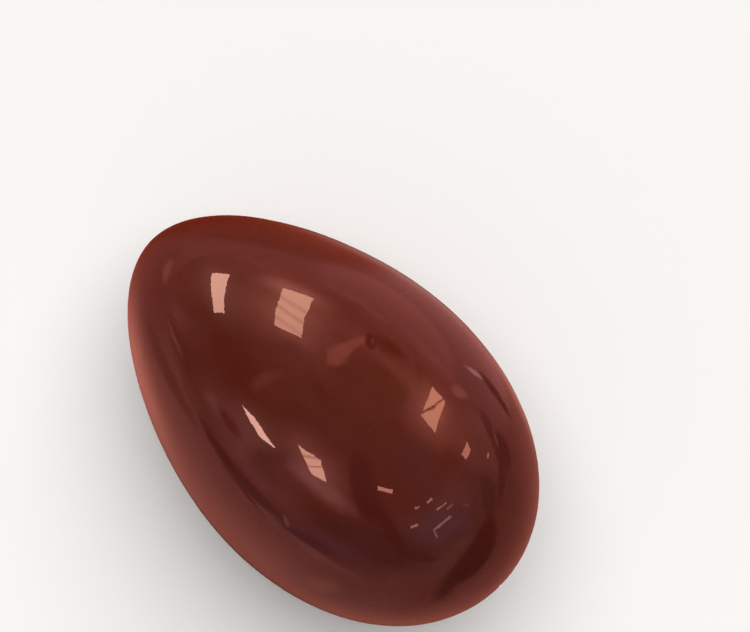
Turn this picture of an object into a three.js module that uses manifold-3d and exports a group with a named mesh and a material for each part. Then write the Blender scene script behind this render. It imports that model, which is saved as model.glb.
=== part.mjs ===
// A moulded chocolate egg lying on its side, as one solid: a smooth surface of revolution
// with a fine parting line where its two halves meet and a small flat spot that it rests on.
// The blunt end points along +X, +Z is up, and the units are millimetres.

import * as THREE from 'three';
import { mergeVertices } from 'three/addons/utils/BufferGeometryUtils.js';
import Module from 'manifold-3d';

// Size of the egg.
const LENGTH = 120;
const WIDTH = 78;

// Shape of the egg. The radius swells towards the blunt end by BLUNT_SWELL, and
// TIP_FULLNESS draws both tips in a little (negative) or fills them out (positive).
const BLUNT_SWELL = 0.157;
const TIP_FULLNESS = -0.021;

// Parting line left by the two halves of the mould: a low rib round the outline.
const SEAM_WIDTH = 0.8;
const SEAM_HEIGHT = 0.2;

// Depth of chocolate that is flat where the egg rests.
const FOOT_DEPTH = 0.2;

// Fineness of the surface.
const SEGMENTS_ROUND = 72;
const SEGMENTS_ALONG = 48;
const SEAM_STEPS = 144;
const PROFILE_SAMPLES = 2000;

const CHOCOLATE = { color: 0x54201a, roughness: 0.12, metalness: 0 };

const wasm = await Module();
wasm.setup();

// Distance of the profile from the long axis before it is scaled to WIDTH, at the angle t
// that runs from 0 at the blunt tip to pi at the narrow tip.
function swell(t) {
  return Math.sin(t) * (1 + BLUNT_SWELL * Math.cos(t) + TIP_FULLNESS * Math.cos(2 * t));
}

// The angles of evenly spaced samples between the two tips.
function angles(count) {
  return Array.from({ length: count + 1 }, (_, i) => (Math.PI * i) / count);
}

const WIDEST_SWELL = Math.max(...angles(PROFILE_SAMPLES).map(swell));

// Point of the profile at angle t: x along the long axis, y away from it.
function profile(t) {
  const radius = (WIDTH / 2) * (swell(t) / WIDEST_SWELL);
  return new THREE.Vector2((LENGTH / 2) * Math.cos(t), Math.max(radius, 0));
}

// Where the centre of mass of the solid lies on the long axis, by adding up thin discs.
function centreOfMass() {
  let volume = 0;
  let moment = 0;
  const points = angles(PROFILE_SAMPLES).map(profile);
  for (let i = 1; i < points.length; i += 1) {
    const middle = points[i].clone().add(points[i - 1]).divideScalar(2);
    const disc = middle.y ** 2 * (points[i - 1].x - points[i].x);
    volume += disc;
    moment += disc * middle.x;
  }
  return new THREE.Vector2(moment / volume, 0);
}

// The egg comes to rest on the point of its side that is nearest its centre of mass.
function restingPoint(centre) {
  const side = angles(PROFILE_SAMPLES).map(profile).filter((p) => p.y > WIDTH / 4);
  const distance = (p) => p.distanceTo(centre);
  return side.reduce((best, p) => (distance(p) < distance(best) ? p : best));
}

// A closed three.js geometry as a manifold solid.
function solid(geometry) {
  const bare = geometry.clone();
  bare.deleteAttribute('normal');
  bare.deleteAttribute('uv');
  const merged = mergeVertices(bare, 1e-4);
  const index = merged.index.array;
  const triVerts = [];
  for (let i = 0; i < index.length; i += 3) {
    const [a, b, c] = index.slice(i, i + 3);
    if (a !== b && b !== c && c !== a) {
      triVerts.push(a, b, c);
    }
  }
  return new wasm.Manifold(new wasm.Mesh({
    numProp: 3,
    vertProperties: new Float32Array(merged.attributes.position.array),
    triVerts: new Uint32Array(triVerts),
  }));
}

// A manifold solid as a three.js geometry.
function geometryOf(manifold) {
  const mesh = manifold.getMesh();
  const geometry = new THREE.BufferGeometry();
  geometry.setAttribute('position', new THREE.BufferAttribute(mesh.vertProperties, 3));
  geometry.setIndex(new THREE.BufferAttribute(mesh.triVerts, 1));
  geometry.computeVertexNormals();
  return geometry;
}

// The egg itself, turned round the X axis.
function eggBody() {
  const points = angles(SEGMENTS_ALONG).map(profile).map((p) => new THREE.Vector2(p.y, p.x));
  points[0].x = 0;
  points[SEGMENTS_ALONG].x = 0;
  const body = new THREE.LatheGeometry(points.reverse(), SEGMENTS_ROUND);
  return body.rotateZ(-Math.PI / 2);
}

// A thin plate in the parting plane, which stands SEAM_HEIGHT proud of the egg all round.
function seamPlate() {
  const upper = angles(SEAM_STEPS / 2).map((t) => {
    const step = Math.PI / SEAM_STEPS / 4;
    const along = profile(Math.min(t + step, Math.PI)).sub(profile(Math.max(t - step, 0)));
    const outward = new THREE.Vector2(along.y, -along.x).normalize();
    return profile(t).addScaledVector(outward, SEAM_HEIGHT);
  });
  upper[0].y = 0;
  upper[SEAM_STEPS / 2].y = 0;
  const lower = upper.slice(1, -1).reverse().map((p) => new THREE.Vector2(p.x, -p.y));
  const plate = new THREE.ExtrudeGeometry(new THREE.Shape([...upper, ...lower]), {
    depth: SEAM_WIDTH,
    bevelEnabled: false,
  });
  return plate.translate(0, 0, -SEAM_WIDTH / 2);
}

// Lays a geometry down as the egg rests: turned about Y so that the resting point faces
// straight down, and lowered by FOOT_DEPTH into the ground.
function layDown(geometry) {
  const centre = centreOfMass();
  const foot = restingPoint(centre);
  const turn = Math.atan2(foot.x - centre.x, foot.y);
  const height = foot.distanceTo(centre) - FOOT_DEPTH;
  geometry.translate(-centre.x, 0, 0);
  geometry.rotateY(turn);
  return geometry.translate(0, 0, height);
}

// Everything below the ground, to cut the flat spot.
function ground() {
  const block = new THREE.BoxGeometry(2 * LENGTH, 2 * WIDTH, WIDTH);
  return block.translate(0, 0, -WIDTH / 2);
}

function eggGeometry() {
  const joined = solid(layDown(eggBody())).add(solid(layDown(seamPlate())));
  const geometry = geometryOf(joined.subtract(solid(ground())));
  geometry.computeBoundingBox();
  const middle = geometry.boundingBox.getCenter(new THREE.Vector3());
  return geometry.translate(-middle.x, 0, 0);
}

const egg = new THREE.Mesh(eggGeometry(), new THREE.MeshStandardMaterial(CHOCOLATE));
egg.name = 'egg';

const model = new THREE.Group();
model.add(egg);

export default model;
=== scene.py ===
"""A glossy moulded chocolate egg lying on a pale table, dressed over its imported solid.

Lengths are in metres and angles in degrees unless a name says otherwise.
"""

import math
from typing import NamedTuple

import bpy
import numpy as np
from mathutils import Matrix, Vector


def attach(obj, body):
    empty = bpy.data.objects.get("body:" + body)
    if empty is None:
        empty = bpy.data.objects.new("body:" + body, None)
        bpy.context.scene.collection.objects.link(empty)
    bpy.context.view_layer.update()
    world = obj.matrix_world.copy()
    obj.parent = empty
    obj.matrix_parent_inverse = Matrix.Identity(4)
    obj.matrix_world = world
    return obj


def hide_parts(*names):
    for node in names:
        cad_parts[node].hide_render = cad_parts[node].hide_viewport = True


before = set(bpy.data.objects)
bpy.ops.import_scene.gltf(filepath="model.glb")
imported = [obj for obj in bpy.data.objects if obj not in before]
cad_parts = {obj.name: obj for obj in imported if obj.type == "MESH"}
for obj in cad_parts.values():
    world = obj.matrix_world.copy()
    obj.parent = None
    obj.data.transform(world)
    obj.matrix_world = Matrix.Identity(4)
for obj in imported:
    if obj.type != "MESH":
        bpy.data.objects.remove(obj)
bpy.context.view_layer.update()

MM = 0.001

# The egg's form: the same driving sizes as its solid's.
EGG_LENGTH = 120 * MM
EGG_WIDTH = 78 * MM
BLUNT_SWELL = 0.157
TIP_FULLNESS = -0.021
FOOT_DEPTH = 0.2 * MM

# The parting line that the two halves of the mould leave, with its crest rubbed down.
SEAM_HEIGHT = 0.12 * MM
SEAM_HALF_WIDTH = 0.4 * MM

# Fineness of the surface: rings from tip to tip, and points round each ring, which
# crowd together towards the parting line by SEAM_CROWDING. The outline is sampled at even
# steps of its angle, and its slope is read over SLOPE_STEP, in radians.
RINGS = 250
POINTS_ROUND = 390
SEAM_CROWDING = 0.6
PROFILE_SAMPLES = 4001
SLOPE_STEP = 1e-5

# Which way the camera looks at the egg from, how far away it is, how far to the right of and
# above the middle of the egg's axis it aims, and its film and lens.
VIEW_AZIMUTH = 44.8
VIEW_ELEVATION = 85.0
VIEW_DISTANCE = 0.4864
FRAME_RIGHT = 12.6 * MM
FRAME_UP = 22.8 * MM
FILM_WIDTH_MM = 36.0
LENS_MM = 96.0


# ---------------------------------------------------------------- the egg's form


def swell(t):
    """Relative radius of the egg at angle t, from 0 at the blunt tip to pi at the narrow tip.

    The sine of t, times one plus a term that fattens the blunt half and one that shapes
    both tips.
    """
    return np.sin(t) * (1 + BLUNT_SWELL * np.cos(t) + TIP_FULLNESS * np.cos(2 * t))


SAMPLES = np.linspace(0, math.pi, PROFILE_SAMPLES)
WIDEST_SWELL = swell(SAMPLES).max()


def profile(t):
    """Distance along the axis and distance from it, at angle t of the outline."""
    along = EGG_LENGTH / 2 * np.cos(t)
    radius = EGG_WIDTH / 2 * np.maximum(swell(t), 0) / WIDEST_SWELL
    return along, radius


def balance_point():
    """Where the centre of mass lies on the axis: the discs' moments over their volumes."""
    along, radius = profile(SAMPLES)
    disc = radius**2 * np.abs(np.gradient(along))
    return float((disc * along).sum() / disc.sum())


def resting_pose():
    """How the egg lies: it rests on the point of its side nearest the centre of mass.

    Returns the centre of mass, the turn about Y that brings that point straight down, in
    radians, the height of the centre of mass above the table, and how far it lies along X
    from the middle of the resting egg.
    """
    centre = balance_point()
    along, radius = profile(SAMPLES)
    away_from_tips = radius > EGG_WIDTH / 4
    reach = np.where(away_from_tips, np.hypot(along - centre, radius), np.inf)
    foot = reach.argmin()
    turn = math.atan2(along[foot] - centre, radius[foot])
    level = (along - centre) * math.cos(turn)
    tilted = radius * math.sin(turn)
    ends = np.concatenate([level + tilted, level - tilted])
    middle = (ends.max() + ends.min()) / 2
    return centre, turn, float(reach[foot]) - FOOT_DEPTH, float(-middle)


BALANCE, RESTING_TURN, BALANCE_HEIGHT, BALANCE_SHIFT = resting_pose()


def lay_down(points):
    """Turns points from the egg's own axes to how it lies, centred over the frame's origin."""
    x = points[..., 0] - BALANCE
    y = points[..., 1]
    z = points[..., 2]
    cosine, sine = math.cos(RESTING_TURN), math.sin(RESTING_TURN)
    level = x * cosine + z * sine + BALANCE_SHIFT
    height = z * cosine - x * sine + BALANCE_HEIGHT
    return np.stack([level, y, height], axis=-1)


AXIS_MIDDLE = Vector(lay_down(np.zeros(3)))


class Waves(NamedTuple):
    """A set of random waves: their length, their usual height, their number and their seed."""

    wavelength: float
    height: float
    count: int
    seed: int


# What the mould and the setting chocolate leave on the skin, from broad swells to a fine
# ripple, and how far the parting line strays from its plane.
MOULD_WAVES = (
    Waves(wavelength=42 * MM, height=0.035 * MM, count=7, seed=3),
    Waves(wavelength=14 * MM, height=0.010 * MM, count=9, seed=5),
    Waves(wavelength=6 * MM, height=0.0025 * MM, count=11, seed=8),
)
SEAM_WANDER = Waves(wavelength=30 * MM, height=0.06 * MM, count=5, seed=11)

# The shortest and the longest wave of a set, as shares of its wavelength.
WAVE_SPREAD = (0.75, 1.35)


def smooth_waves(points, waves):
    """A gentle random relief: plane waves of about one wavelength, added together.

    Each wave runs in its own direction with its own phase. The sum of their sines is scaled
    by the root of two over their number, so that its usual height is the one given.
    """
    random = np.random.default_rng(waves.seed)
    directions = random.normal(size=(waves.count, 3))
    directions /= np.linalg.norm(directions, axis=1, keepdims=True)
    lengths = waves.wavelength * random.uniform(*WAVE_SPREAD, waves.count)
    phases = random.uniform(0, 2 * math.pi, waves.count)
    angles = np.tensordot(points, (2 * math.pi * directions / lengths[:, None]).T, axes=1)
    return waves.height * math.sqrt(2 / waves.count) * np.sin(angles + phases).sum(axis=-1)


def seam_relief(points):
    """Height of the parting line: a low rounded rib where the egg crosses its flat middle plane.

    It falls off as a bell curve with the distance from the wandering line.
    """
    wander = smooth_waves(points, SEAM_WANDER)
    across = (points[..., 2] - wander) / SEAM_HALF_WIDTH
    return SEAM_HEIGHT * np.exp(-(across**2))


def egg_grid():
    """Corner points of the egg's surface, ring by ring from the blunt tip to the narrow one.

    The outline is turned about the axis. The points round a ring follow an even turn less
    a sine of twice that turn, so that they crowd at both sides of the parting plane. Each
    point then moves out along the surface normal by the relief.
    """
    t = np.linspace(0, math.pi, RINGS + 1)[1:-1, None]
    even = np.linspace(0, 2 * math.pi, POINTS_ROUND, endpoint=False)[None, :]
    turn = even - SEAM_CROWDING / 2 * np.sin(2 * even)
    along, radius = profile(t)
    along_after, radius_after = profile(t + SLOPE_STEP)
    slope = np.stack([along_after - along, radius_after - radius], axis=-1)
    slope /= np.linalg.norm(slope, axis=-1, keepdims=True)
    points = np.stack(np.broadcast_arrays(along, radius * np.cos(turn), radius * np.sin(turn)), axis=-1)
    normals = np.stack(
        np.broadcast_arrays(slope[..., 1], -slope[..., 0] * np.cos(turn), -slope[..., 0] * np.sin(turn)),
        axis=-1,
    )
    relief = sum(smooth_waves(points, waves) for waves in MOULD_WAVES) + seam_relief(points)
    return points + normals * relief[..., None]


def skin_faces(rings, around):
    """Quads between neighbouring rings, and a fan of triangles that closes each tip.

    The corners are numbered ring by ring, and the blunt and the narrow tip come last.
    """
    ring, point = np.meshgrid(np.arange(rings - 1), np.arange(around), indexing="ij")
    after = (point + 1) % around
    here, beyond = ring * around, (ring + 1) * around
    quads = np.stack([here + point, beyond + point, beyond + after, here + after], axis=-1)
    quads = quads.reshape(-1, 4)
    first = np.arange(around)
    second = (first + 1) % around
    blunt, narrow = rings * around, rings * around + 1
    last = (rings - 1) * around
    blunt_fan = np.stack([np.full(around, blunt), first, second], axis=-1)
    narrow_fan = np.stack([last + first, np.full(around, narrow), last + second], axis=-1)
    return quads.tolist() + blunt_fan.tolist() + narrow_fan.tolist()


def make_egg():
    """The whole skin of the egg, flattened where it rests on the table."""
    grid = egg_grid()
    rings, around = grid.shape[:2]
    tips = np.array([[EGG_LENGTH / 2, 0, 0], [-EGG_LENGTH / 2, 0, 0]])
    points = lay_down(np.concatenate([grid.reshape(-1, 3), tips]))
    points[:, 2] = np.maximum(points[:, 2], 0)
    mesh = bpy.data.meshes.new("chocolate_egg")
    mesh.from_pydata(points.tolist(), [], skin_faces(rings, around))
    mesh.polygons.foreach_set("use_smooth", np.ones(len(mesh.polygons), dtype=bool))
    mesh.update()
    egg = bpy.data.objects.new("chocolate_egg", mesh)
    bpy.context.scene.collection.objects.link(egg)
    return egg


# ---------------------------------------------------------------- the chocolate


class Nodes:
    """A short way to place shader nodes and join them up."""

    def __init__(self, tree):
        self.tree = tree
        tree.nodes.clear()

    def add(self, kind, inputs=None, **settings):
        """A node of that kind, with its settings and its inputs, each a value or a socket."""
        node = self.tree.nodes.new(kind)
        for name, value in settings.items():
            setattr(node, name, value)
        for name, value in (inputs or {}).items():
            socket = node.inputs[name]
            if isinstance(value, bpy.types.NodeSocket):
                self.tree.links.new(value, socket)
            else:
                socket.default_value = value
        return node

    def maths(self, operation, *values):
        """The result of one step of arithmetic on its values."""
        return self.add("ShaderNodeMath", dict(enumerate(values)), operation=operation).outputs[0]


class Pattern(NamedTuple):
    """A soft random pattern: its features to the unit, its finer layers and their weight."""

    scale: float
    detail: float
    roughness: float = 0.5


def noise(nodes, where, pattern):
    """The height of a pattern, around a half, at each place or direction."""
    made = nodes.add(
        "ShaderNodeTexNoise",
        {
            "Vector": where,
            "Scale": pattern.scale,
            "Detail": pattern.detail,
            "Roughness": pattern.roughness,
        },
    )
    return made.outputs["Fac"]


def spread(nodes, value, low, high, to_low, to_high):
    """Maps a value from one range to another, easing in and out at the ends."""
    made = nodes.add(
        "ShaderNodeMapRange",
        {"Value": value, "From Min": low, "From Max": high, "To Min": to_low, "To Max": to_high},
        interpolation_type="SMOOTHSTEP",
    )
    return made.outputs["Result"]


def blend_colours(nodes, share, first, second):
    """The first colour where share is 0 and the second where it is 1."""
    made = nodes.add(
        "ShaderNodeMix",
        {"Factor": share, "A": first, "B": second},
        data_type="RGBA",
    )
    return made.outputs["Result"]


# The two browns, and the broad clouds in which one gives way to the other.
DARK_CHOCOLATE = (0.062, 0.0074, 0.0044, 1)
WARM_CHOCOLATE = (0.071, 0.0089, 0.0055, 1)
CLOUDS = Pattern(scale=14, detail=1)
CLOUD_RANGE = (0.2, 0.8)

# The body's soft sheen, whose roughness varies in a fine mottle.
MOTTLE = Pattern(scale=160, detail=4)
MOTTLE_RANGE = (0.3, 0.7)
BODY_ROUGHNESS = (0.26, 0.32)
BODY_SHINE = 0.18

# The mirror skin, with its faint ripple, and how strongly cocoa butter bends light.
RIPPLE = Pattern(scale=380, detail=2)
RIPPLE_DEPTH = 0.01 * MM
SKIN_ROUGHNESS = 0.015
COCOA_BUTTER_IOR = 1.46


def chocolate_finish():
    """Tempered chocolate: a mirror skin over a softly shining brown body.

    The clear coat gives the sharp reflections, and the body under it a wide dim glow. The
    brown drifts a little where the cocoa butter set at different speeds.
    """
    material = bpy.data.materials.new("tempered_chocolate")
    material.use_nodes = True
    nodes = Nodes(material.node_tree)
    where = nodes.add("ShaderNodeTexCoord").outputs["Object"]
    clouds = spread(nodes, noise(nodes, where, CLOUDS), *CLOUD_RANGE, 0, 1)
    brown = blend_colours(nodes, clouds, DARK_CHOCOLATE, WARM_CHOCOLATE)
    sheen = spread(nodes, noise(nodes, where, MOTTLE), *MOTTLE_RANGE, *BODY_ROUGHNESS)
    ripple = nodes.add(
        "ShaderNodeBump",
        {"Strength": 1.0, "Distance": RIPPLE_DEPTH, "Height": noise(nodes, where, RIPPLE)},
    ).outputs["Normal"]
    skin = nodes.add(
        "ShaderNodeBsdfPrincipled",
        {
            "Base Color": brown,
            "Normal": ripple,
            "Coat Normal": ripple,
            "Roughness": sheen,
            "IOR": COCOA_BUTTER_IOR,
            "Specular IOR Level": BODY_SHINE,
            "Coat Weight": 1.0,
            "Coat Roughness": SKIN_ROUGHNESS,
            "Coat IOR": COCOA_BUTTER_IOR,
        },
    )
    nodes.add("ShaderNodeOutputMaterial", {"Surface": skin.outputs["BSDF"]})
    return material


# ---------------------------------------------------------------- the table and the light

# Where the directions of the table's painted reflection tones and of the panes are taken from, and how
# far away the panes stand.
EGG_MIDDLE = Vector((0, 0, 40 * MM))
PANE_DISTANCE = 1.6

# The table top reaches this far to each side, just under the egg's flat spot.
TABLE_HALF = 6.0
TABLE_DROP = 0.1 * MM

PALE_TABLE = (0.95, 0.94, 0.93, 1)
PALE_WALL = (0.947, 0.93, 0.905, 1)
BAR_BROWN = (1.4, 0.2, 0.05, 1)

# Half the depth of a tone's oval, in and out of the ball of directions.
OVAL_DEPTH = 1.5

# The small things about the room: a pattern over all directions, which dims and brightens
# the room's tones.
CLUTTER = Pattern(scale=5, detail=4, roughness=0.6)
CLUTTER_RANGE = (0.3, 0.7)
CLUTTER_BRIGHTNESS = (0.82, 1.18)


class Bar(NamedTuple):
    """A bar across a pane, in shares of the pane's sides.

    It has its place along the pane's second side, how far it slants back over the width, its
    half thickness, and how deep its shade is.
    """

    place: float
    slant: float
    half_thickness: float
    shade: float


class Pane(NamedTuple):
    """A flat glowing pane that the gloss mirrors, such as a window.

    Its four corners are given in turn, each by azimuth and elevation seen from EGG_MIDDLE.
    """

    corners: tuple
    light: tuple
    bars: tuple = ()


PANES = {
    "narrow_window": Pane(((167.5, 11.5), (160, 14), (-179, 28), (-173.5, 24.5)), (13.3, 6.9, 5.2)),
    "wide_window": Pane(
        ((141, 17.5), (131.5, 18), (148.5, 43.5), (159.5, 38)),
        (11.2, 5.4, 3.8),
        (Bar(0.25, -0.15, 0.10, 0.24), Bar(0.50, -0.15, 0.09, 0.28), Bar(0.78, -0.15, 0.09, 0.20)),
    ),
    "slanting_window": Pane(((-135, 35), (-130.5, 39.5), (-114.5, 43), (-120.5, 37.5)), (17.5, 9.2, 7.6)),
    "roof_window": Pane(
        ((-115.5, 56.5), (-102.5, 63.5), (-85, 55.5), (-97, 51.5)),
        (13.6, 6.6, 4.8),
        (Bar(0.33, 0.38, 0.09, 0.48), Bar(0.71, 0.38, 0.06, 0.62)),
    ),
    "far_window": Pane(
        ((84.5, 21), (78, 21), (65, 41), (76.5, 43)),
        (10.0, 3.9, 2.5),
        (Bar(0.93, 1.15, 0.12, 1.0),),
    ),
    "end_window": Pane(((59.5, 21.5), (55.5, 20.5), (50, 26), (53, 29)), (8.4, 3.0, 2.1)),
    "slit_window": Pane(((54, 5.5), (55, 6), (52.5, 8.5), (52, 7.5)), (6.0, 2.4, 1.9)),
    "ceiling_lamp": Pane(((-33.5, 65.5), (-18, 62.5), (-13.5, 64.5), (-30, 68)), (10.2, 3.7, 2.9)),
    "first_strip_lamp": Pane(((5.5, 48), (13, 46.5), (14, 48), (6, 49.5)), (6.5, 2.5, 2.0)),
    "second_strip_lamp": Pane(((7, 41.5), (17.5, 38), (18, 39), (7.5, 42.5)), (5.6, 2.2, 1.8)),
    "third_strip_lamp": Pane(((-8, 51), (-3.5, 50.5), (-3, 51.5), (-7.5, 52.5)), (6.0, 2.2, 1.8)),
    "fourth_strip_lamp": Pane(((-21.5, 42.5), (-14, 42), (-14, 43.5), (-21, 44)), (7.0, 2.6, 1.9)),
    "fifth_strip_lamp": Pane(((13, 37), (20, 35), (19.5, 34), (13, 36)), (2.6, 1.2, 1.1)),
    "violet_lamp": Pane(((23, 29), (25, 25.5), (24, 24.5), (21.5, 28)), (1.05, 0.52, 0.64)),
    "long_screen_edge": Pane(((-6, 35), (10.5, 32), (11, 33.5), (-6, 36)), (3.4, 2.0, 2.3)),
    "short_screen_edge": Pane(((-7.5, 29.5), (-5, 35.5), (-6.5, 36), (-9, 30)), (2.4, 1.5, 1.8)),
}


class Tone(NamedTuple):
    """A soft oval of colour that the gloss mirrors.

    Its middle is an azimuth and an elevation, and a half width or height of 1 is as wide as
    a radian there. The half sizes are to where the colour is half there, and the turn is
    about the oval's middle. The edge is how much of the oval's reach it takes to fade in.
    """

    middle: tuple
    half_width: float
    half_height: float
    turn: float
    edge: float
    colour: tuple


# The doorway reaches from the room down over the table, so it is a tone of both.
DOORWAY = Tone((3, 0), 0.39, 0.145, 9, 0.3, (0, 0, 0))

# The room in the gloss. The middle of a tone is the direction in which the gloss sees it.
# Later tones lie over earlier ones.
ROOM_TONE = (0.34, 0.08, 0.02, 1)
ROOM_TONES = {
    "lit_wall": Tone((115, -5), 0.75, 0.67, 0, 0.6, (1.10, 0.28, 0.20)),
    "bright_corner": Tone((104, 2), 0.36, 0.10, -4, 0.4, (1.40, 0.41, 0.35)),
    "west_wall": Tone((-172, 4), 0.40, 0.20, 0, 0.7, (0.66, 0.15, 0.105)),
    "low_west_wall": Tone((-128, 0), 0.30, 0.09, 0, 0.7, (0.72, 0.22, 0.17)),
    "window_glow": Tone((150, 36), 0.26, 0.21, 30, 1.0, (1.9, 0.52, 0.40)),
    "window_halo": Tone((138, 16.5), 0.14, 0.075, 0, 1.0, (3.2, 0.95, 0.80)),
    "far_window_glow": Tone((76, 36), 0.18, 0.23, 20, 1.0, (2.8, 0.80, 0.60)),
    "end_wall": Tone((58, 12), 0.26, 0.32, 0, 0.5, (1.00, 0.34, 0.26)),
    "lit_corner": Tone((79, 4), 0.11, 0.04, 80, 0.7, (2.3, 0.70, 0.55)),
    "lamp_shade": Tone((92, 21), 0.14, 0.03, -70, 0.8, (0.80, 0.21, 0.13)),
    "ceiling": Tone((102, 54), 0.32, 0.17, 80, 0.5, (0.55, 0.155, 0.05)),
    "north_slope": Tone((102, 30), 0.20, 0.10, 0, 1.0, (1.45, 0.40, 0.26)),
    "beam": Tone((123, 39.5), 0.30, 0.036, 54, 0.5, (2.35, 0.62, 0.45)),
    "beam_foot": Tone((131.6, 47.5), 0.12, 0.055, 50, 0.6, (2.35, 0.62, 0.45)),
    "lamp_arm": Tone((105.5, 22), 0.115, 0.085, 40, 0.7, (0.42, 0.11, 0.02)),
    "lamp": Tone((111.4, 26.8), 0.095, 0.032, 88, 0.5, (0.12, 0.03, 0.01)),
    "lamp_glint": Tone((110.5, 25.5), 0.045, 0.007, 85, 0.7, (1.1, 0.32, 0.25)),
    "pale_wood": Tone((178, 56), 0.43, 0.23, -33, 0.5, (0.56, 0.15, 0.05)),
    "dark_wood": Tone((-149, 29), 0.38, 0.19, -49, 0.3, (0.34, 0.065, 0.015)),
    "wood_edge": Tone((-161, 49), 0.16, 0.03, -31, 0.8, (1.10, 0.34, 0.26)),
    "rafter": Tone((164, 66), 0.14, 0.06, 72, 0.7, (0.30, 0.07, 0.02)),
    "dark_post": Tone((141, 50), 0.15, 0.03, 65, 0.8, (0.72, 0.20, 0.12)),
    "bracket": Tone((160.5, 47), 0.10, 0.055, 0, 0.7, (0.48, 0.14, 0.13)),
    "west_haze": Tone((-157, 15), 0.14, 0.12, 0, 1.0, (0.62, 0.19, 0.16)),
    "west_glow": Tone((-156.5, 6), 0.07, 0.09, 0, 1.0, (1.10, 0.30, 0.25)),
    "west_post": Tone((-146, 3), 0.10, 0.02, 28, 0.7, (1.30, 0.40, 0.32)),
    "dim_side": Tone((-10, 22), 0.94, 0.52, 0, 0.35, (0.38, 0.17, 0.145)),
    "grey_ceiling": Tone((33, 56), 0.26, 0.20, 0, 0.8, (0.32, 0.17, 0.15)),
    "dark_side": Tone((-50, 30), 0.50, 0.24, 0, 0.5, (0.10, 0.085, 0.08)),
    "low_wall": Tone((-42, 3), 0.48, 0.11, 0, 0.6, (0.62, 0.23, 0.19)),
    "near_wall": Tone((-78, 1), 0.42, 0.09, -12, 0.3, (1.05, 0.38, 0.35)),
    "sill": Tone((-5, 14), 0.25, 0.07, 15, 0.9, (0.62, 0.25, 0.21)),
    "east_wall": Tone((18, 34), 0.22, 0.14, 0, 1.0, (0.62, 0.30, 0.30)),
    "mauve_corner": Tone((-112, 23), 0.34, 0.24, 0, 0.9, (1.10, 0.37, 0.36)),
    "pale_nook": Tone((-129.8, 17.5), 0.06, 0.07, 0, 0.9, (1.15, 0.43, 0.37)),
    "nook": Tone((-125, 21.5), 0.085, 0.055, 27, 0.8, (0.34, 0.04, 0.04)),
    "roof_glow": Tone((-100, 58), 0.26, 0.22, 7, 0.9, (1.25, 0.38, 0.32)),
    "roof_edge": Tone((-87, 49), 0.24, 0.085, 10, 0.95, (2.2, 0.80, 0.78)),
    "dim_gap": Tone((-106.5, 27), 0.105, 0.13, 0, 0.9, (0.45, 0.17, 0.16)),
    "dark_gap": Tone((-111, 38), 0.07, 0.17, 0, 0.8, (0.20, 0.08, 0.08)),
    "shelf_end": Tone((-113.5, 4), 0.175, 0.055, 8, 0.6, (0.04, 0.02, 0.03)),
    "dark_shelf": Tone((-99, 8), 0.18, 0.075, 13, 0.6, (0.12, 0.08, 0.10)),
    "blue_shelf": Tone((-70, 18), 0.24, 0.10, 7, 0.8, (0.34, 0.19, 0.28)),
    "shelf_edge": Tone((-80, 9), 0.18, 0.055, 16, 0.6, (0.06, 0.07, 0.15)),
    "shelf_glint": Tone((-88, 10), 0.055, 0.018, -68, 0.6, (1.0, 0.55, 0.65)),
    "screen": Tone((0, 33), 0.33, 0.16, -13, 0.6, (0.28, 0.24, 0.33)),
    "screen_middle": Tone((5, 21), 0.13, 0.06, -25, 0.9, (0.05, 0.15, 0.19)),
    "dark_arm": Tone((-50, 66), 0.34, 0.125, 89, 0.45, (0, 0, 0)),
    "dark_leg": Tone((-37, 42), 0.27, 0.07, -84, 0.7, (0.0, 0.01, 0.01)),
    "dark_foot": Tone((-26, 22), 0.18, 0.06, -33, 0.8, (0.02, 0.04, 0.04)),
    "green_corner": Tone((35, 9), 0.19, 0.12, 32, 0.5, (0.07, 0.09, 0.07)),
    "doorway": DOORWAY,
}
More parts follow.
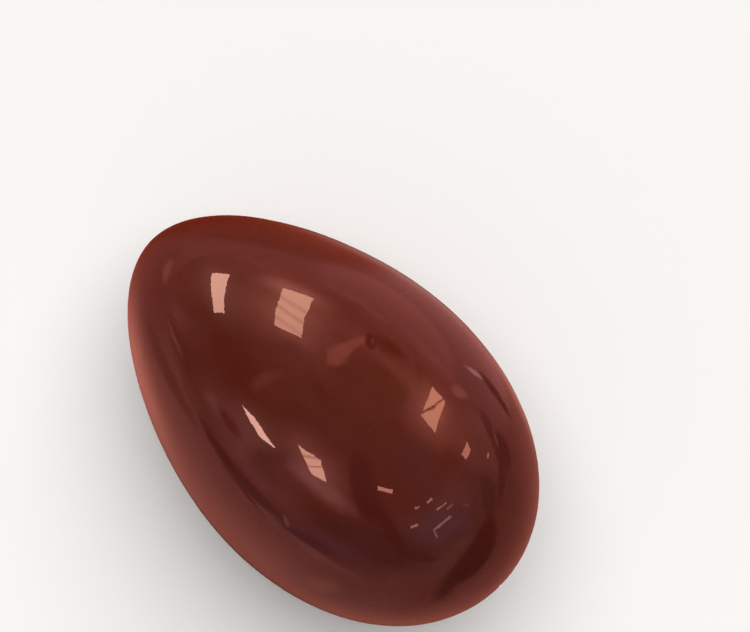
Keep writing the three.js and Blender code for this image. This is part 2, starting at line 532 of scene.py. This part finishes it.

# The table and what is on it as the gloss sees it, all painted: to the gloss the table glows with these
# tones instead of being lit, so its shade is painted shade and its bright patches are painted light. The
# middle of a tone is the direction of its spot on the table from EGG_MIDDLE. Later tones lie over earlier
# ones.
TABLE_PAINTED_REFLECTION_TONE = (0.95, 0.29, 0.235, 1)
TABLE_PAINTED_REFLECTION_TONES = {
    "dim_end": Tone((10, -20), 0.86, 0.85, 0, 0.4, (0.50, 0.135, 0.10)),
    "dim_side": Tone((-55, -15), 0.28, 0.32, 0, 0.8, (0.60, 0.20, 0.165)),
    "tip_side": Tone((-168, -15), 0.45, 0.35, 0, 0.6, (0.66, 0.165, 0.125)),
    # Painted light: a bright patch on the table in the gloss.
    "bright_west": Tone((-137, -25), 0.28, 0.11, 0, 0.9, (1.30, 0.385, 0.29)),
    "side": Tone((92, -14), 0.52, 0.40, 0, 0.2, (0.80, 0.25, 0.225)),
    # Painted shade on the table towards the narrow tip, as the gloss sees it.
    "shaded_north": Tone((144, -28), 0.50, 0.36, 0, 0.3, (0.60, 0.105, 0.06)),
    "north_horizon": Tone((150, 0), 0.45, 0.10, 0, 0.9, (1.00, 0.26, 0.20)),
    # Painted light: a bright pool on the table on the lit side, in the gloss.
    "bright_side": Tone((105, -2), 0.37, 0.24, -4, 0.25, (1.30, 0.37, 0.32)),
    # Painted shade on the table beyond the narrow tip.
    "dark_tip": Tone((166, -28), 0.40, 0.17, 0, 0.8, (0.32, 0.03, 0.01)),
    "west_box": Tone((-173, -5), 0.115, 0.038, 8, 0.5, (1.50, 0.42, 0.34)),
    "west_edge": Tone((-136, -8), 0.26, 0.05, 19, 0.5, (0.50, 0.14, 0.10)),
    # Painted shade on the table along the shaded side, darkening the rim's reflection.
    "shaded_side": Tone((-68, -30), 0.60, 0.12, 0, 1.0, (0.79, 0.22, 0.16)),
    # Painted light: this tone and the next two are bright patches on the table that brighten the rim's
    # reflection.
    "lit_foot": Tone((-64, -12.5), 0.07, 0.08, 0, 1.0, (1.05, 0.34, 0.26)),
    "brightened_foot": Tone((103, -36), 0.32, 0.09, 0, 0.9, (1.05, 0.46, 0.42)),
    "brightened_corner": Tone((58, -35), 0.20, 0.09, 0, 0.9, (1.05, 0.36, 0.31)),
    # Painted shadow of the egg on the table, as the gloss sees it.
    "own_shade": Tone((-50, -87), 0.87, 0.91, 0, 0.35, (0.10, 0.03, 0.02)),
    "brown_patch": Tone((36, -9), 0.12, 0.06, 14, 0.8, (0.36, 0.14, 0.07)),
    "cup_foot": Tone((41, -1), 0.17, 0.05, -8, 0.7, (0.10, 0.05, 0.05)),
    "cup": Tone((53.5, -5.5), 0.14, 0.068, 15, 0.45, (0.08, 0.035, 0.035)),
    "cup_edge": Tone((63, -2.6), 0.12, 0.036, 0, 0.6, (0.20, 0.065, 0.065)),
    # Painted glint on the cup's painted reflection.
    "cup_glint": Tone((59, -4), 0.06, 0.011, -6, 0.6, (0.90, 0.32, 0.30)),
    "dark_wire": Tone((67, -16.5), 0.15, 0.03, 12, 0.4, (0.08, 0.025, 0.025)),
    # Painted glint: a bright streak on the table, as the gloss sees it.
    "spoon": Tone((77.3, -11.8), 0.062, 0.015, 30, 0.6, (2.8, 1.1, 1.05)),
    "doorway": DOORWAY,
    "doorway_foot": Tone((-19, -7), 0.12, 0.06, 49, 0.8, (0.04, 0.015, 0.01)),
}


def direction(azimuth, elevation):
    """The unit vector that points that way: azimuth counts from +X towards +Y."""
    a, e = math.radians(azimuth), math.radians(elevation)
    return Vector((math.cos(a) * math.cos(e), math.sin(a) * math.cos(e), math.sin(e)))


def soft_oval(nodes, looking, tone):
    """1 inside a tone's oval and 0 outside it, on the ball of directions round the egg.

    It is the depth inside an ellipsoid on that ball, 1 at its middle and 0 at its skin, eased
    in from the skin.
    """
    azimuth, elevation = tone.middle
    turns = (math.radians(tone.turn), math.radians(-elevation), math.radians(azimuth))
    halves = Vector((OVAL_DEPTH, tone.half_width, tone.half_height))
    local = nodes.add(
        "ShaderNodeMapping",
        {
            "Vector": looking,
            "Location": direction(azimuth, elevation),
            "Rotation": turns,
            "Scale": halves / (1 - tone.edge / 2),
        },
        vector_type="TEXTURE",
    )
    depth = nodes.add(
        "ShaderNodeTexGradient",
        {"Vector": local.outputs["Vector"]},
        gradient_type="SPHERICAL",
    )
    return spread(nodes, depth.outputs["Fac"], 0, tone.edge, 0, 1)


def paint(nodes, looking, ground, tones):
    """Lays the tones one over another on the ground colour."""
    colour = ground
    for tone in tones.values():
        colour = blend_colours(nodes, soft_oval(nodes, looking, tone), colour, (*tone.colour, 1))
    return colour


def make_pane(name, pane):
    """Makes a pane, which nothing but the gloss of the chocolate sees."""
    corners = [EGG_MIDDLE + direction(*corner) * PANE_DISTANCE for corner in pane.corners]
    mesh = bpy.data.meshes.new(name)
    mesh.from_pydata([tuple(corner) for corner in corners], [], [(0, 1, 2, 3)])
    mesh.uv_layers.new(name="pane").data.foreach_set("uv", (0, 0, 1, 0, 1, 1, 0, 1))
    mesh.materials.append(pane_glow(name, pane))
    made = bpy.data.objects.new(name, mesh)
    bpy.context.scene.collection.objects.link(made)
    made.visible_camera = False
    made.visible_diffuse = False
    made.visible_shadow = False


def pane_glow(name, pane):
    """The even light of a pane, browner and dimmer where each of its bars crosses it."""
    material = bpy.data.materials.new(name)
    material.use_nodes = True
    nodes = Nodes(material.node_tree)
    flat = nodes.add("ShaderNodeUVMap", uv_map="pane").outputs["UV"]
    shares = nodes.add("ShaderNodeSeparateXYZ", {"Vector": flat}).outputs
    colour = (*pane.light, 1)
    for bar in pane.bars:
        along = nodes.maths("MULTIPLY_ADD", shares["X"], bar.slant, shares["Y"])
        beside = nodes.maths("ABSOLUTE", nodes.maths("SUBTRACT", along, bar.place))
        covered = spread(nodes, beside, 0, bar.half_thickness, bar.shade, 0)
        colour = blend_colours(nodes, covered, colour, BAR_BROWN)
    glow = nodes.add("ShaderNodeEmission", {"Color": colour})
    nodes.add("ShaderNodeOutputMaterial", {"Surface": glow.outputs["Emission"]})
    return material


def table_paint_and_painted_reflection():
    """Plain pale paint to the camera and to diffuse light, and to the gloss a glow of painted reflection
    tones, painted shade and painted light among them.
    """
    material = bpy.data.materials.new("pale_table_and_painted_reflection")
    material.use_nodes = True
    nodes = Nodes(material.node_tree)
    place = nodes.add("ShaderNodeTexCoord").outputs["Object"]
    apart = nodes.add("ShaderNodeVectorMath", {0: place, 1: EGG_MIDDLE}, operation="SUBTRACT")
    looking = nodes.add("ShaderNodeVectorMath", {0: apart.outputs[0]}, operation="NORMALIZE")
    mirrored = paint(nodes, looking.outputs[0], TABLE_PAINTED_REFLECTION_TONE, TABLE_PAINTED_REFLECTION_TONES)
    # The gloss sees the table glow with its painted reflection, painted shade and painted light included,
    # in place of the lit paint.
    glow = nodes.add("ShaderNodeEmission", {"Color": mirrored})
    paint_coat = nodes.add("ShaderNodeBsdfDiffuse", {"Color": PALE_TABLE})
    gloss = nodes.add("ShaderNodeLightPath").outputs["Is Glossy Ray"]
    top = nodes.add("ShaderNodeMixShader", {0: gloss, 1: paint_coat.outputs[0], 2: glow.outputs[0]})
    nodes.add("ShaderNodeOutputMaterial", {"Surface": top.outputs[0]})
    material.cycles.emission_sampling = "NONE"
    return material


def make_table():
    """Makes a wide plain table top, just under the egg's flat spot."""
    sides = [(-1, -1), (1, -1), (1, 1), (-1, 1)]
    corners = [(TABLE_HALF * x, TABLE_HALF * y, -TABLE_DROP) for x, y in sides]
    mesh = bpy.data.meshes.new("table")
    mesh.from_pydata(corners, [], [(0, 1, 2, 3)])
    mesh.materials.append(table_paint_and_painted_reflection())
    table = bpy.data.objects.new("table", mesh)
    bpy.context.scene.collection.objects.link(table)


def make_room():
    """Makes the room round the table: a pale wall to the camera, and its own tones in the gloss."""
    world = bpy.data.worlds.new("room")
    bpy.context.scene.world = world
    world.use_nodes = True
    nodes = Nodes(world.node_tree)
    looking = nodes.add("ShaderNodeTexCoord").outputs["Generated"]
    mirrored = paint(nodes, looking, ROOM_TONE, ROOM_TONES)
    clutter = spread(nodes, noise(nodes, looking, CLUTTER), *CLUTTER_RANGE, *CLUTTER_BRIGHTNESS)
    mirrored = nodes.add("ShaderNodeVectorMath", {0: mirrored, "Scale": clutter}, operation="SCALE")
    camera_ray = nodes.add("ShaderNodeLightPath").outputs["Is Camera Ray"]
    colour = blend_colours(nodes, camera_ray, mirrored.outputs[0], PALE_WALL)
    room = nodes.add("ShaderNodeBackground", {"Color": colour})
    nodes.add("ShaderNodeOutputWorld", {"Surface": room.outputs["Background"]})
    world.cycles_visibility.diffuse = False


class SoftLight(NamedTuple):
    """Even light from a wide patch of sky: where its middle is, its breadth, strength and colour."""

    azimuth: float
    elevation: float
    breadth: float
    strength: float
    colour: tuple


SOFT_LIGHTS = {
    "overhead": SoftLight(azimuth=120, elevation=68, breadth=70, strength=2.86, colour=(1, 0.98, 0.96)),
    "fill": SoftLight(azimuth=-70, elevation=50, breadth=120, strength=0.66, colour=(0.97, 0.98, 1)),
}


def make_soft_light(name, light):
    """Makes a soft light, which the gloss doesn't mirror."""
    data = bpy.data.lights.new(name, "SUN")
    data.angle = math.radians(light.breadth)
    data.energy = light.strength
    data.color = light.colour
    made = bpy.data.objects.new(name, data)
    towards = direction(light.azimuth, light.elevation)
    made.rotation_euler = towards.to_track_quat("Z", "Y").to_euler()
    made.visible_glossy = False
    bpy.context.scene.collection.objects.link(made)


# ---------------------------------------------------------------- the camera


def make_camera():
    """Puts the camera above the egg, turned so that the blunt end points down to the right."""
    data = bpy.data.cameras.new("camera")
    data.sensor_fit = "HORIZONTAL"
    data.sensor_width = FILM_WIDTH_MM
    data.lens = LENS_MM
    camera = bpy.data.objects.new("camera", data)
    camera.rotation_euler = (math.radians(90 - VIEW_ELEVATION), 0, math.radians(VIEW_AZIMUTH))
    right, up, back = camera.rotation_euler.to_matrix().col
    camera.location = AXIS_MIDDLE + right * FRAME_RIGHT + up * FRAME_UP + back * VIEW_DISTANCE
    bpy.context.scene.collection.objects.link(camera)
    bpy.context.scene.camera = camera


# ---------------------------------------------------------------- putting it together

bpy.context.scene.view_settings.view_transform = "Standard"
bpy.context.scene.view_settings.look = "None"

egg = make_egg()
egg.data.materials.append(chocolate_finish())
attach(egg, "root")
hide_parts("egg")

make_table()
make_room()
for name, pane in PANES.items():
    make_pane(name, pane)
for name, light in SOFT_LIGHTS.items():
    make_soft_light(name, light)
make_camera()
